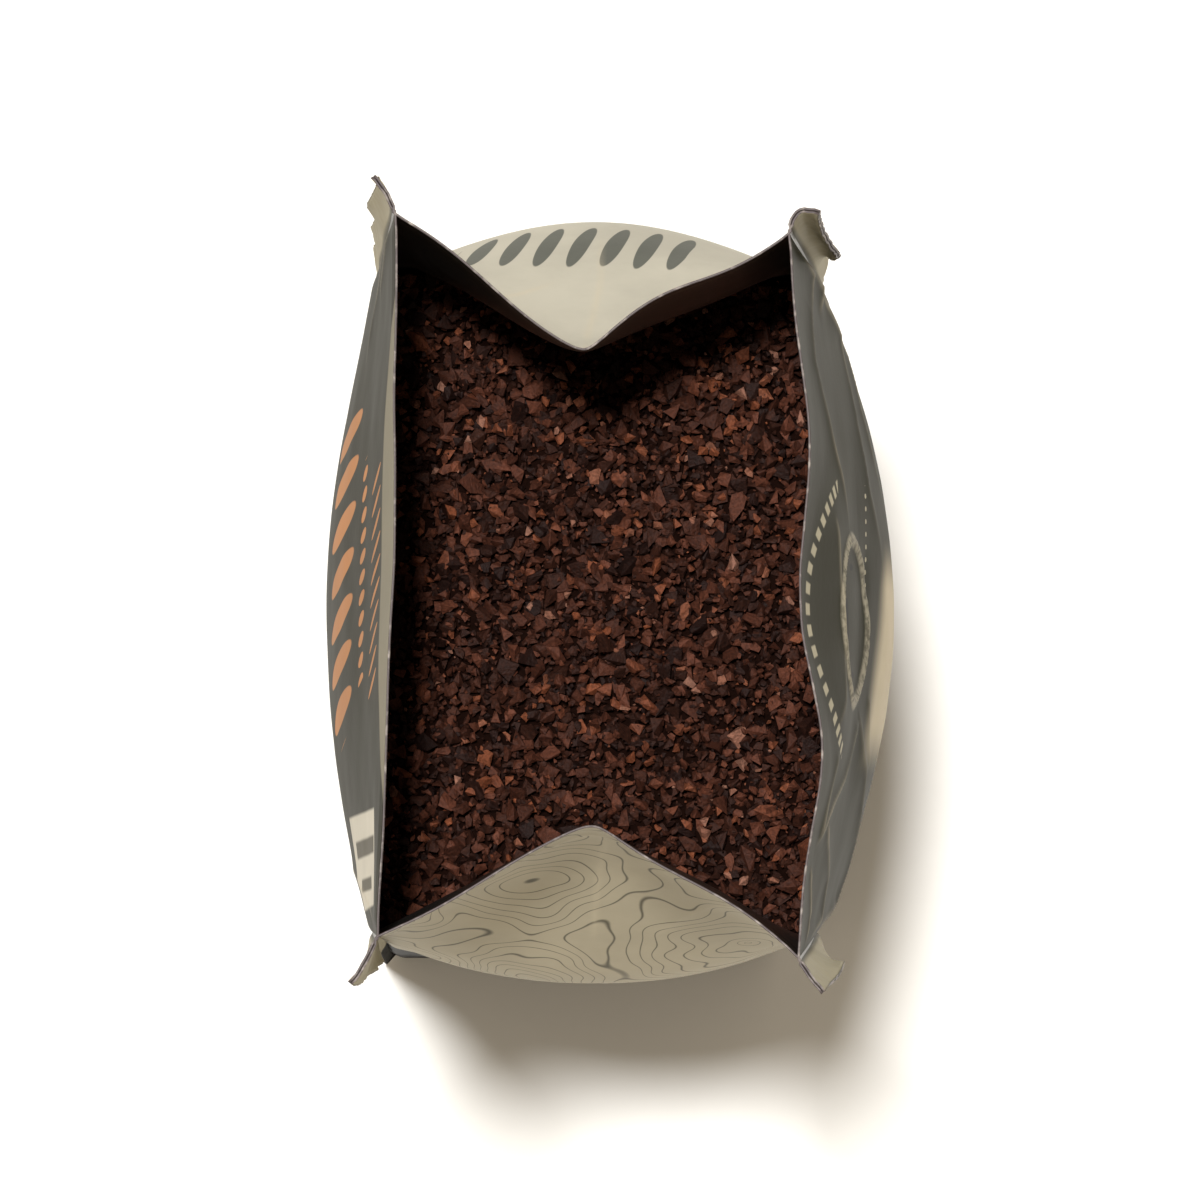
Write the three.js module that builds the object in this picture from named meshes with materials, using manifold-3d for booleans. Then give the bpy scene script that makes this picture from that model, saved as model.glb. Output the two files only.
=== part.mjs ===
// A side-gusseted coffee bag with four corner seams. It stands open, part filled with coarse ground coffee.
// Millimetres, +Z up. The origin is on the resting face, under the middle of the mouth.
// The front panel faces -Y, the back panel with its one-way valve faces +Y, and the gussets close the X ends.
import * as THREE from "three";
import { mergeVertices } from "three/addons/utils/BufferGeometryUtils.js";
import Module from "manifold-3d";

const wasm = await Module();
wasm.setup();

// Heights
const RIM_HEIGHT = 170;
const BELLY_HEIGHT = 105;
const COFFEE_HEIGHT = 125;
const FLOOR_THICKNESS = 0.8;

// The film is modelled thicker than a real laminate, so that it stays one sound solid.
const FILM = 0.5;
const GAP = 0.35;

// How sharply the walls leave the rim and the base on their way to the belly. The tuck of a gusset holds on
// for longer below the rim, and relaxes into its bow by the share of this power.
const EASE_POWER = 1.25;
const TUCK_HOLD = 1.9;

// Half the size of the base, and the radii of the bottom edge and of the corners in plan.
const BASE_HALF = { x: 41, y: 26 };
const BASE_EDGE_RADIUS = 3;
const CORNER_RADIUS = { rim: 0, belly: 1.4, base: 3 };

// Steps along each side, closer together at the corners by the share CORNER_CROWDING, and levels up the wall.
const PANEL_STEPS = 12;
const GUSSET_STEPS = 12;
const CORNER_CROWDING = 0.6;
const BASE_LEVELS = [0, 0.8, 1.8, 3];
const WALL_LEVELS = 17;
const RIM_CROWDING = 0.5;

// The corner seams in plan, counter-clockwise seen from above, each with the two steps of its welded fin:
// from the seam to the fin's bend, and from the seam to the fin's edge.
const CORNERS = [
  {
    rim: [39.8, -24.0],
    belly: [39.6, -26.2],
    base: [43.3, -27.3],
    fin: {
      rim: { bend: [2.7, -1.3], edge: [5.1, -2.9] },
      shoulder: { bend: [2.2, -0.5], edge: [4.3, -0.3] },
      body: { bend: [2.1, 0.1], edge: [3.9, 0.6] },
    },
  },
  {
    rim: [42.2, 23.4],
    belly: [39.5, 27.2],
    base: [41.0, 25.5],
    fin: {
      rim: { bend: [2.0, 1.3], edge: [3.7, 2.7] },
      shoulder: { bend: [1.5, 2.2], edge: [2.2, 4.4] },
      body: { bend: [2.1, 0.7], edge: [3.9, 0.6] },
    },
  },
  {
    rim: [-39.8, 22.5],
    belly: [-37.9, 27.4],
    base: [-39.5, 25.5],
    fin: {
      rim: { bend: [-2.1, 1.0], edge: [-1.9, 3.3] },
      shoulder: { bend: [-0.9, 2.3], edge: [0.6, 4.2] },
      body: { bend: [-2.2, 0.9], edge: [-4.0, 1.0] },
    },
  },
  {
    rim: [-42.0, -22.1],
    belly: [-38.6, -25.4],
    base: [-39.3, -27.0],
    fin: {
      rim: { bend: [-2.2, -0.8], edge: [-4.2, -2.1] },
      shoulder: { bend: [-2.3, -0.9], edge: [-4.2, -1.9] },
      body: { bend: [-2.4, -0.2], edge: [-4.6, -0.3] },
    },
  },
];
const SHOULDER_HEIGHT = 152;
const FIN_BODY_HEIGHT = 122;
const FIN_TAPER = { from: 112, to: 84 };
const FIN_THICKNESS = 0.7;
const FIN_STUB = 1.8;
const FIN_POINTS = 6;

// What closes the bag between each corner and the next. bow is how far its middle stands outside the
// straight line between the corners, and crease is 0 for a knife fold and large for a round bow. At the rim,
// both flanks of a tucked gusset are wavy: sway gives each flank's long wave and its S-shaped one.
const SIDES = [
  {
    steps: GUSSET_STEPS,
    bow: { rim: -13.6, belly: 6.1, base: 0.5 },
    crease: { rim: 0.06, belly: 3, base: 3 },
    sway: { first: [0.17, 0.28], last: [-0.47, -0.57] },
  },
  { steps: PANEL_STEPS, bow: { rim: 0.5, belly: 9.2, base: 0.5 }, crease: { rim: 3, belly: 3, base: 3 } },
  {
    steps: GUSSET_STEPS,
    bow: { rim: -14.4, belly: 7.8, base: 0.5 },
    crease: { rim: 0.06, belly: 3, base: 3 },
    sway: { first: [1.15, -0.93], last: [0.18, 0.48] },
  },
  { steps: PANEL_STEPS, bow: { rim: -0.6, belly: 5.9, base: 0.5 }, crease: { rim: 3, belly: 3, base: 3 } },
];
const BACK = 1;
const SWAY_DEPTH = 30;

// The mouth of the back panel has relaxed into a long wave.
const RIM_WAVE = { height: 1.9, centre: 20, width: 13, depth: 34 };

// One-way valve, welded to the inside of the back panel. Its weld stands out on the panel as a low ring.
const VALVE = {
  across: 3.3,
  height: 143,
  flangeRadius: 10.5,
  flange: 0.9,
  bodyRadius: 7.6,
  body: 2.4,
  vent: 0.7,
};
const VALVE_VENTS = [-4.6, 4.6];
const VALVE_SEAT = FILM + 1.15;
const WELD = { inner: 8.9, outer: 10.1, slope: 0.35, height: 0.5, root: 0.32, steps: 28 };

// Ground coffee: a plain core, a heap over it as rough as grains, and the larger chips that lie there. The
// walls lean in above the coffee, so the heap's edge is where they are at its highest grains.
const CORE_DEPTH = 2;
const HEAP_OVERLAP = 1;
const HEAP_EDGE_HEIGHT = 127.5;
const HEAP_INSET = 0.2;
const HEAP_STEPS = [28, 40, 28, 40];
const HEAP_HALF = { x: 46, y: 34 };
const HEAP_SWELL = 1.4;
const HEAP_UNEVEN = 0.45;
const HEAP_WAVE = { x: 20, y: 17, bend: 1.5 };
const GRAIN_RELIEF = 1.3;
const CHIP_COUNT = 90;
const CHIP_SIZE = [1.8, 3.2];
const CHIP_REACH = 0.9;
const CHIP_PROUD = 0.1;
const SEED = 20;

const COLOURS = { film: 0x64625a, coffee: 0x3a2018, valve: 0x4a4842 };

const clamp = (value, low, high) => Math.min(high, Math.max(low, value));
const mix = (a, b, t) => a + (b - a) * t;
const mixPair = (a, b, t) => [mix(a[0], b[0], t), mix(a[1], b[1], t)];
const smooth = (t) => t * t * (3 - 2 * t);
const ease = (t) => Math.sin((Math.PI / 2) * clamp(t, 0, 1)) ** EASE_POWER;

// A size that is known at the rim, the belly and the base, at any height between. A hold over 1 keeps the
// rim's size for longer.
function atHeight(size, z, hold = 1) {
  const blend = Array.isArray(size.rim) ? mixPair : mix;
  const below = (RIM_HEIGHT - z) / (RIM_HEIGHT - BELLY_HEIGHT);
  if (z >= BELLY_HEIGHT) return blend(size.rim, size.belly, ease(below) ** hold);
  return blend(size.base, size.belly, ease(z / BELLY_HEIGHT));
}

// A bow across a panel, from 0 at both corners to 1 in the middle: a knife fold where crease is small.
function bowShape(t, crease) {
  const across = 2 * t - 1;
  const top = Math.hypot(1, crease);
  return (top - Math.hypot(across, crease)) / (top - crease);
}

// The waves of a tucked gusset's flanks, fading down from the rim.
function flankSway(side, t, z) {
  const { sway } = SIDES[side];
  if (!sway) return 0;
  const [long, short] = t < 0.5 ? sway.first : sway.last;
  const fromCorner = 1 - Math.abs(2 * t - 1);
  const fade = smooth(clamp(1 - (RIM_HEIGHT - z) / SWAY_DEPTH, 0, 1));
  return fade * (long * Math.sin(Math.PI * fromCorner) + short * Math.sin(2 * Math.PI * fromCorner));
}

function rimWave(side, x, z) {
  if (side !== BACK) return 0;
  const across = (x - RIM_WAVE.centre) / RIM_WAVE.width;
  const fade = smooth(clamp(1 - (RIM_HEIGHT - z) / RIM_WAVE.depth, 0, 1));
  return RIM_WAVE.height * Math.exp(-across * across) * fade;
}

// The point of a side at the share t of its length, at height z, before its corners are rounded.
function sidePoint(side, t, z) {
  const a = atHeight(CORNERS[side], z);
  const b = atHeight(CORNERS[(side + 1) % CORNERS.length], z);
  const length = Math.hypot(b[0] - a[0], b[1] - a[1]);
  const out = [(b[1] - a[1]) / length, -(b[0] - a[0]) / length];
  const [x, y] = mixPair(a, b, t);
  const { bow, crease, sway } = SIDES[side];
  const hold = sway ? TUCK_HOLD : 1;
  const plainBow = atHeight(bow, z, hold) * bowShape(t, atHeight(crease, z, hold));
  const rise = plainBow + flankSway(side, t, z) + rimWave(side, x, z);
  const radius = atHeight(CORNER_RADIUS, z);
  const near = Math.min(t, 1 - t) * length;
  const rounded = near < radius ? radius - Math.sqrt(radius ** 2 - (radius - near) ** 2) : 0;
  const pushed = rise - rounded;
  return [x + out[0] * pushed, y + out[1] * pushed];
}

// How far the rounded bottom edge has turned in at height z.
function baseTuck(z) {
  const below = clamp(BASE_EDGE_RADIUS - z, 0, BASE_EDGE_RADIUS);
  return BASE_EDGE_RADIUS - Math.sqrt(BASE_EDGE_RADIUS ** 2 - below ** 2);
}

// A point of the plan drawn towards the middle by the rounded bottom edge, so that no two sides can cross.
function turnedIn([x, y], z) {
  const tuck = baseTuck(z);
  return [x * (1 - tuck / BASE_HALF.x), y * (1 - tuck / BASE_HALF.y)];
}

// A corner seam at height z, drawn in to the rounding of its two sides.
function cornerPoint(corner, before, after, z) {
  const sharp = atHeight(CORNERS[corner], z);
  const middle = mixPair(before, after, 0.5);
  const reach = Math.hypot(middle[0] - sharp[0], middle[1] - sharp[1]);
  const pull = atHeight(CORNER_RADIUS, z) * (Math.SQRT2 - 1);
  return mixPair(sharp, middle, Math.min(0.85, pull / reach));
}

// The film's outline at height z, as a closed run of points. Each corner comes first in its side.
function outline(z, stepsPerSide = SIDES.map(({ steps }) => steps)) {
  const sides = stepsPerSide.map((steps, side) =>
    Array.from({ length: steps - 1 }, (_, k) => {
      const even = (k + 1) / steps;
      const crowded = (1 - Math.cos(Math.PI * even)) / 2;
      return sidePoint(side, mix(even, crowded, CORNER_CROWDING), z);
    }),
  );
  return sides.flatMap((points, side) => {
    const before = sides[(side + 3) % 4].at(-1);
    const corner = { side, corner: true, at: turnedIn(cornerPoint(side, before, points[0], z), z) };
    return [corner, ...points.map((at) => ({ side, at: turnedIn(at, z) }))];
  });
}

// The outline moved inwards by a distance, mitred where it turns.
function insetOutline(z, distance, stepsPerSide) {
  const run = outline(z, stepsPerSide);
  const normal = (p, q) => {
    const length = Math.hypot(q[0] - p[0], q[1] - p[1]);
    return [(q[1] - p[1]) / length, (p[0] - q[0]) / length];
  };
  return run.map(({ at }, k) => {
    const first = normal(run[(k + run.length - 1) % run.length].at, at);
    const second = normal(at, run[(k + 1) % run.length].at);
    const sum = [first[0] + second[0], first[1] + second[1]];
    const size = Math.hypot(...sum);
    const miter = [sum[0] / size, sum[1] / size];
    const reach = distance / Math.max(0.4, miter[0] * first[0] + miter[1] * first[1]);
    return [at[0] - miter[0] * reach, at[1] - miter[1] * reach];
  });
}

// A fin's bend and edge at height z, measured from its seam. Below the belly it is pressed to a low ridge.
function finSteps(corner, z) {
  const { rim, shoulder, body } = CORNERS[corner].fin;
  const upper = smooth(clamp((z - SHOULDER_HEIGHT) / (RIM_HEIGHT - SHOULDER_HEIGHT), 0, 1));
  const lower = smooth(clamp((z - FIN_BODY_HEIGHT) / (SHOULDER_HEIGHT - FIN_BODY_HEIGHT), 0, 1));
  const keep = smooth(clamp((z - FIN_TAPER.to) / (FIN_TAPER.from - FIN_TAPER.to), 0, 1));
  const [x, y] = CORNERS[corner].base;
  const stub = [x, y].map((value) => (value / Math.hypot(x, y)) * FIN_STUB);
  const step = (key, share) => {
    const top = mixPair(shoulder[key], rim[key], upper);
    const full = z > SHOULDER_HEIGHT ? top : mixPair(body[key], shoulder[key], lower);
    return mixPair([stub[0] * share, stub[1] * share], full, keep);
  };
  return { bend: step("bend", 0.5), edge: step("edge", 1) };
}

// The six points of a fin: out along the side that the outline arrives on, and back along the other.
function finPoints(corner, at, z) {
  const { bend, edge } = finSteps(corner, z);
  const half = FIN_THICKNESS / 2;
  const across = (from, to) => {
    const length = Math.hypot(to[0] - from[0], to[1] - from[1]);
    return [((to[1] - from[1]) / length) * half, (-(to[0] - from[0]) / length) * half];
  };
  const first = across([0, 0], bend);
  const last = across(bend, edge);
  const middle = [(first[0] + last[0]) / 2, (first[1] + last[1]) / 2];
  const stations = [
    { step: [0, 0], side: first },
    { step: bend, side: middle },
    { step: edge, side: last },
  ];
  const arriving = stations.map(({ step, side }) => [at[0] + step[0] + side[0], at[1] + step[1] + side[1]]);
  const leaving = stations.map(({ step, side }) => [at[0] + step[0] - side[0], at[1] + step[1] - side[1]]);
  return [...arriving, ...leaving.reverse()];
}

// Collects triangles, and drops those that two equal corners have flattened.
class Faces {
  constructor() {
    this.values = [];
  }
  triangle(a, b, c) {
    const far = (p, q) => Math.hypot(p[0] - q[0], p[1] - q[1], p[2] - q[2]) > 1e-4;
    if (far(a, b) && far(b, c) && far(c, a)) this.values.push(...a, ...b, ...c);
  }
  quad(a, b, c, d) {
    this.triangle(a, b, c);
    this.triangle(a, c, d);
  }
  // A wall between two closed runs of as many points, facing out when the runs turn counter-clockwise. A thin
  // wall's two faces have to be split alike, or they cross where it twists: otherWay says which quads of this
  // one are split along their other diagonal for that.
  band(lower, upper, otherWay = () => false) {
    lower.forEach((point, k) => {
      const next = (k + 1) % lower.length;
      if (otherWay(k)) this.quad(lower[next], upper[next], upper[k], point);
      else this.quad(point, lower[next], upper[next], upper[k]);
    });
  }
  geometry() {
    const loose = new THREE.BufferGeometry();
    loose.setAttribute("position", new THREE.Float32BufferAttribute(this.values, 3));
    return mergeVertices(loose, 1e-4);
  }
}

const lift = (points, z) => points.map(([x, y]) => [x, y, z]);

// The heights at which the walls are measured, closer together near the rim, for the fold and the waves.
function wallLevels() {
  return Array.from({ length: WALL_LEVELS + 1 }, (_, k) => {
    const even = k / WALL_LEVELS;
    return mix(BASE_EDGE_RADIUS, RIM_HEIGHT, mix(even, Math.sin((Math.PI / 2) * even), RIM_CROWDING));
  });
}

// The core of the coffee is measured at the same heights as the film round it.
function coreLevels() {
  return [FLOOR_THICKNESS + GAP, ...wallLevels().filter((z) => z < COFFEE_HEIGHT - CORE_DEPTH)];
}

// The film's outer run at height z: the outline with each corner opened into its fin.
function outerRun(z) {
  return outline(z).flatMap(({ side, corner, at }) => (corner ? finPoints(side, at, z) : [at]));
}

// Where each corner starts in the outer run, and in the plain outline.
function cornerStarts(pointsPerCorner) {
  const starts = [];
  SIDES.reduce((index, { steps }) => {
    starts.push(index);
    return index + pointsPerCorner + steps - 1;
  }, 0);
  return starts;
}

// Closes the end of the fin whose six points start at the given place in an outer run.
function capFin(faces, run, start, upwards) {
  const [a0, a1, a2, b2, b1, b0] = run.slice(start, start + FIN_POINTS);
  if (upwards) {
    faces.quad(a0, a1, b1, b0);
    faces.quad(a1, a2, b2, b1);
  } else {
    faces.quad(b0, b1, a1, a0);
    faces.quad(b1, b2, a2, a1);
  }
}

// The closed ring of the valve's weld, following the outside of the back panel.
function weldRing() {
  const { inner, outer, slope, height, root, steps } = WELD;
  const section = [
    [inner, -root],
    [inner + slope, height],
    [outer - slope, height],
    [outer, -root],
  ];
  const circle = (radius, rise) =>
    Array.from({ length: steps }, (_, k) => {
      const turn = (2 * Math.PI * k) / steps;
      return panelPoint(VALVE.across + radius * Math.cos(turn), VALVE.height + radius * Math.sin(turn), rise);
    });
  const rings = section.map(([radius, rise]) => circle(radius, rise));
  const faces = new Faces();
  rings.forEach((ring, k) => faces.band(ring, rings[(k + 1) % rings.length]));
  return faces.geometry();
}

// The film, with the ring of the valve's weld standing out of its back panel.
function filmSolid() {
  return toGeometry(toSolid(plainFilm()).add(toSolid(weldRing())));
}

// The film alone: its outside and inside walls, the rim that joins them, the underside and the floor.
function plainFilm() {
  const faces = new Faces();
  const finStarts = cornerStarts(FIN_POINTS);
  const plainStarts = cornerStarts(1);
  const isLeaving = (step) => step >= FIN_POINTS / 2 && step < FIN_POINTS - 1;
  const onLeavingFace = (k) => finStarts.some((start) => isLeaving(k - start));
  const outerLevels = [...BASE_LEVELS, ...wallLevels().slice(1)];
  const outer = outerLevels.map((z) => lift(outerRun(z), z));
  for (let k = 1; k < outer.length; k++) faces.band(outer[k - 1], outer[k], onLeavingFace);

  const innerLevels = [FLOOR_THICKNESS, ...outerLevels.filter((z) => z > FLOOR_THICKNESS)];
  const inner = innerLevels.map((z) => lift(insetOutline(z, FILM), z));
  for (let k = 1; k < inner.length; k++) faces.band(inner[k], inner[k - 1], () => true);
  fan(faces, inner[0], [0, 0, FLOOR_THICKNESS], true);

  const [foot, top, lip] = [outer[0], outer.at(-1), inner.at(-1)];
  const underside = [0, 0, 0];
  SIDES.forEach(({ steps }, side) => {
    const first = finStarts[side];
    const last = first + FIN_POINTS - 1;
    const seam = plainStarts[side];
    capFin(faces, top, first, true);
    capFin(faces, foot, first, false);
    faces.triangle(top[first], top[last], lip[seam]);
    faces.triangle(foot[last], foot[first], underside);
    for (let k = 0; k < steps; k++) {
      const here = last + k;
      const next = (here + 1) % top.length;
      const inNext = (seam + k + 1) % lip.length;
      faces.quad(top[here], top[next], lip[inNext], lip[seam + k]);
      faces.triangle(foot[next], foot[here], underside);
    }
  });
  return faces.geometry();
}

// A repeatable run of numbers from 0 to 1.
function seeded(seed) {
  let state = seed;
  return () => {
    state = (state * 1664525 + 1013904223) % 4294967296;
    return state / 4294967296;
  };
}

// The heap stands a little higher in the middle, and is uneven all over.
function heapHeight(x, y) {
  const swell = HEAP_SWELL * (1 - (x / HEAP_HALF.x) ** 2) * (1 - (y / HEAP_HALF.y) ** 2);
  const [along, across] = [(2 * Math.PI * x) / HEAP_WAVE.x, (2 * Math.PI * y) / HEAP_WAVE.y];
  const bend = (angle) => HEAP_WAVE.bend * Math.sin(0.7 * angle);
  const waves = Math.sin(along + bend(across)) + Math.sin(across + bend(along));
  return COFFEE_HEIGHT + swell + HEAP_UNEVEN * waves;
}

function coffeeCore() {
  const faces = new Faces();
  const levels = coreLevels();
  const walls = levels.map((z) => lift(insetOutline(z, FILM + GAP), z));
  for (let k = 1; k < walls.length; k++) faces.band(walls[k - 1], walls[k]);
  fan(faces, walls[0], [0, 0, levels[0]], false);
  fan(faces, walls.at(-1), [0, 0, levels.at(-1)], true);
  return faces.geometry();
}

// A closed run filled to its middle, facing up or down.
function fan(faces, run, middle, upwards) {
  run.forEach((point, k) => {
    const next = run[(k + 1) % run.length];
    if (upwards) faces.triangle(point, next, middle);
    else faces.triangle(next, point, middle);
  });
}

// The heap's top: a grid that fills the outline from its four sides, with a grain's roughness at every point.
function heapGrid(random) {
  const [across, along] = HEAP_STEPS;
  const run = insetOutline(HEAP_EDGE_HEIGHT, FILM + GAP + HEAP_INSET, HEAP_STEPS);
  const right = (j) => run[j];
  const back = (i) => run[across + along - i];
  const left = (j) => run[2 * across + along - j];
  const front = (i) => run[(2 * across + along + i) % run.length];
  const blend = (i, j, axis) => {
    const [u, v] = [i / along, j / across];
    const sides = mix(front(i)[axis], back(i)[axis], v) + mix(left(j)[axis], right(j)[axis], u);
    const ends = mix(front(0)[axis], front(along)[axis], u);
    const farEnds = mix(back(0)[axis], back(along)[axis], u);
    return sides - mix(ends, farEnds, v);
  };
  return Array.from({ length: across + 1 }, (_, j) =>
    Array.from({ length: along + 1 }, (_, i) => {
      const [x, y] = [blend(i, j, 0), blend(i, j, 1)];
      return [x, y, heapHeight(x, y) + GRAIN_RELIEF * (random() - 0.5)];
    }),
  );
}

function heapTop(random) {
  const grid = heapGrid(random);
  const faces = new Faces();
  for (let j = 1; j < grid.length; j++) {
    for (let i = 1; i < grid[j].length; i++) {
      faces.quad(grid[j - 1][i - 1], grid[j - 1][i], grid[j][i], grid[j][i - 1]);
    }
  }
  const rightEdge = grid.map((row) => row.at(-1));
  const leftEdge = grid.map((row) => row[0]).reverse();
  const backEdge = [...grid.at(-1)].reverse();
  const rim = [grid[0], rightEdge, backEdge, leftEdge].flatMap((edge) => edge.slice(0, -1));
  const floor = coreLevels().at(-1) - HEAP_OVERLAP;
  const foot = rim.map(([x, y]) => [x, y, floor]);
  faces.band(foot, rim);
  fan(faces, foot, [0, 0, floor], false);
  return faces.geometry();
}

// An angular chip, longer than it is wide, lying at any angle.
function chipGeometry(random, size) {
  const chip = new THREE.IcosahedronGeometry(size / 2, 0);
  chip.scale(mix(0.85, 1.25, random()), mix(0.6, 0.9, random()), mix(0.45, 0.75, random()));
  chip.rotateX(random() * Math.PI);
  chip.rotateY(random() * Math.PI);
  chip.rotateZ(random() * Math.PI);
  return chip;
}

function toSolid(geometry) {
  const bare = geometry.clone();
  bare.deleteAttribute("normal");
  bare.deleteAttribute("uv");
  const merged = mergeVertices(bare, 1e-4);
  return new wasm.Manifold(
    new wasm.Mesh({
      numProp: 3,
      vertProperties: merged.attributes.position.array,
      triVerts: new Uint32Array(merged.index.array),
    }),
  );
}

function toGeometry(solid) {
  const { vertProperties, triVerts } = solid.getMesh();
  const geometry = new THREE.BufferGeometry();
  geometry.setAttribute("position", new THREE.BufferAttribute(vertProperties, 3));
  geometry.setIndex(new THREE.BufferAttribute(triVerts, 1));
  return geometry;
}

// Places for the chips: even over the heap by the golden angle, with none touching the film.
function chipPlaces(random) {
  const edge = insetOutline(HEAP_EDGE_HEIGHT, FILM + GAP, HEAP_STEPS);
  const goldenTurn = Math.PI * (3 - Math.sqrt(5));
  return Array.from({ length: CHIP_COUNT }, (_, k) => {
    const share = Math.sqrt((k + 0.5) / CHIP_COUNT) * CHIP_REACH;
    const angle = k * goldenTurn + random() * 0.5;
    const turned = edge.map(([x, y]) => ({ x, y, turn: Math.cos(Math.atan2(y, x) - angle) }));
    const { x, y } = turned.reduce((best, point) => (point.turn > best.turn ? point : best));
    return [x * share, y * share];
  });
}

function coffeeSolid() {
  const random = seeded(SEED);
  const solids = [toSolid(coffeeCore()), toSolid(heapTop(random))];
  for (const [x, y] of chipPlaces(random)) {
    const size = mix(CHIP_SIZE[0], CHIP_SIZE[1], random() ** 2);
    const chip = chipGeometry(random, size);
    chip.translate(x, y, heapHeight(x, y) + size * CHIP_PROUD);
    solids.push(toSolid(chip));
  }
  const bodies = wasm.Manifold.union(solids).decompose();
  return toGeometry(bodies.reduce((best, body) => (body.volume() > best.volume() ? body : best)));
}

function valveSolid() {
  const { flangeRadius, flange, bodyRadius, body, vent } = VALVE;
  const profile = [
    [0, 0],
    [flangeRadius - 0.3, 0],
    [flangeRadius, 0.3],
    [flangeRadius, flange],
    [bodyRadius + 0.4, flange],
    [bodyRadius, flange + 0.4],
    [bodyRadius - 0.3, body],
    [0, body],
  ].map(([r, y]) => new THREE.Vector2(r, y));
  let solid = toSolid(new THREE.LatheGeometry(profile, 32));
  for (const x of VALVE_VENTS) {
    const drill = new THREE.CylinderGeometry(vent, vent, 3 * body, 10).translate(x, 0, 0);
    solid = solid.subtract(toSolid(drill));
  }
  return toGeometry(solid);
}

// The outside of the back panel at x and z, and a point that stands out from it by rise.
function onPanel(x, z) {
  const [from, to] = [atHeight(CORNERS[BACK], z), atHeight(CORNERS[BACK + 1], z)];
  return new THREE.Vector3(...sidePoint(BACK, (x - from[0]) / (to[0] - from[0]), z), z);
}

function panelFacing(x, z) {
  const along = onPanel(x - 1, z).sub(onPanel(x + 1, z));
  const up = onPanel(x, z + 1).sub(onPanel(x, z - 1));
  return new THREE.Vector3().crossVectors(along, up).normalize();
}

function panelPoint(x, z, rise) {
  return onPanel(x, z).addScaledVector(panelFacing(x, z), rise).toArray();
}

function piece(name, geometry, color, roughness) {
  geometry.computeVertexNormals();
  const mesh = new THREE.Mesh(geometry, new THREE.MeshStandardMaterial({ color, roughness, metalness: 0 }));
  mesh.name = name;
  return mesh;
}

const film = piece("bag_film", filmSolid(), COLOURS.film, 0.55);
const coffee = piece("ground_coffee", coffeeSolid(), COLOURS.coffee, 0.95);
const valve = piece("valve", valveSolid(), COLOURS.valve, 0.4);
const inwards = panelFacing(VALVE.across, VALVE.height).negate();
valve.position.fromArray(panelPoint(VALVE.across, VALVE.height, -VALVE_SEAT));
valve.quaternion.setFromUnitVectors(new THREE.Vector3(0, 1, 0), inwards);

const bag = new THREE.Group();
bag.name = "coffee_bag";
bag.add(film, coffee, valve);
export default bag;
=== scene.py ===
"""An open, upright coffee bag of printed laminate film, part filled with coarse ground coffee.

Shapes are worked out in millimetres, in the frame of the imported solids, and every mesh is made in metres.
The front panel faces -Y, the back panel with the one-way valve faces +Y, and the gussets close the X ends.
"""
import math

import bpy
import numpy as np
from mathutils import Matrix, Vector


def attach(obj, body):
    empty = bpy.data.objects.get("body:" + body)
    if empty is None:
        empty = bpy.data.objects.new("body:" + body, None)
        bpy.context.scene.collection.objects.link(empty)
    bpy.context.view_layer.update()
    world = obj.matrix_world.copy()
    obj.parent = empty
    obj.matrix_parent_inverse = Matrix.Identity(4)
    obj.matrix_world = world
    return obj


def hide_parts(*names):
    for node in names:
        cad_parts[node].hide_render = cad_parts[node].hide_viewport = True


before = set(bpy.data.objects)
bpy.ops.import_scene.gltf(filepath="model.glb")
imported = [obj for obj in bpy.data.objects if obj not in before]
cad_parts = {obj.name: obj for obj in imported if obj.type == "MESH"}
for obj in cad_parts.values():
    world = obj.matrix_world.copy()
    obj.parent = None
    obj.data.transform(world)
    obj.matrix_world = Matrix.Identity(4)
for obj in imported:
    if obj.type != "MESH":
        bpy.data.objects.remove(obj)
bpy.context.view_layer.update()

MM = 0.001

# Heights of the bag, as in its solids
RIM_HEIGHT = 170
BELLY_HEIGHT = 105
COFFEE_HEIGHT = 125
EASE_POWER = 1.25
TUCK_HOLD = 1.9
BASE_HALF = (41, 26)
BASE_EDGE_RADIUS = 3
CORNER_RADIUS = (0, 1.4, 3)

# The four corner seams in plan, at the rim, the belly and the base, counter-clockwise seen from above
CORNERS = [
    [(39.8, -24.0), (39.6, -26.2), (43.3, -27.3)],
    [(42.2, 23.4), (39.5, 27.2), (41.0, 25.5)],
    [(-39.8, 22.5), (-37.9, 27.4), (-39.5, 25.5)],
    [(-42.0, -22.1), (-38.6, -25.4), (-39.3, -27.0)],
]

# Each corner's welded fin: its bend and its edge from the seam, at the rim, the shoulder and the body
FINS = [
    {"rim": [(2.7, -1.3), (5.1, -2.9)], "shoulder": [(2.2, -0.5), (4.3, -0.3)],
     "body": [(2.1, 0.1), (3.9, 0.6)]},
    {"rim": [(2.0, 1.3), (3.7, 2.7)], "shoulder": [(1.5, 2.2), (2.2, 4.4)],
     "body": [(2.1, 0.7), (3.9, 0.6)]},
    {"rim": [(-2.1, 1.0), (-1.9, 3.3)], "shoulder": [(-0.9, 2.3), (0.6, 4.2)],
     "body": [(-2.2, 0.9), (-4.0, 1.0)]},
    {"rim": [(-2.2, -0.8), (-4.2, -2.1)], "shoulder": [(-2.3, -0.9), (-4.2, -1.9)],
     "body": [(-2.4, -0.2), (-4.6, -0.3)]},
]
SHOULDER_HEIGHT = 152
FIN_BODY_HEIGHT = 122
FIN_TAPER = (112, 84)
FIN_STUB = 1.8
FIN_HALF = 0.3

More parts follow.
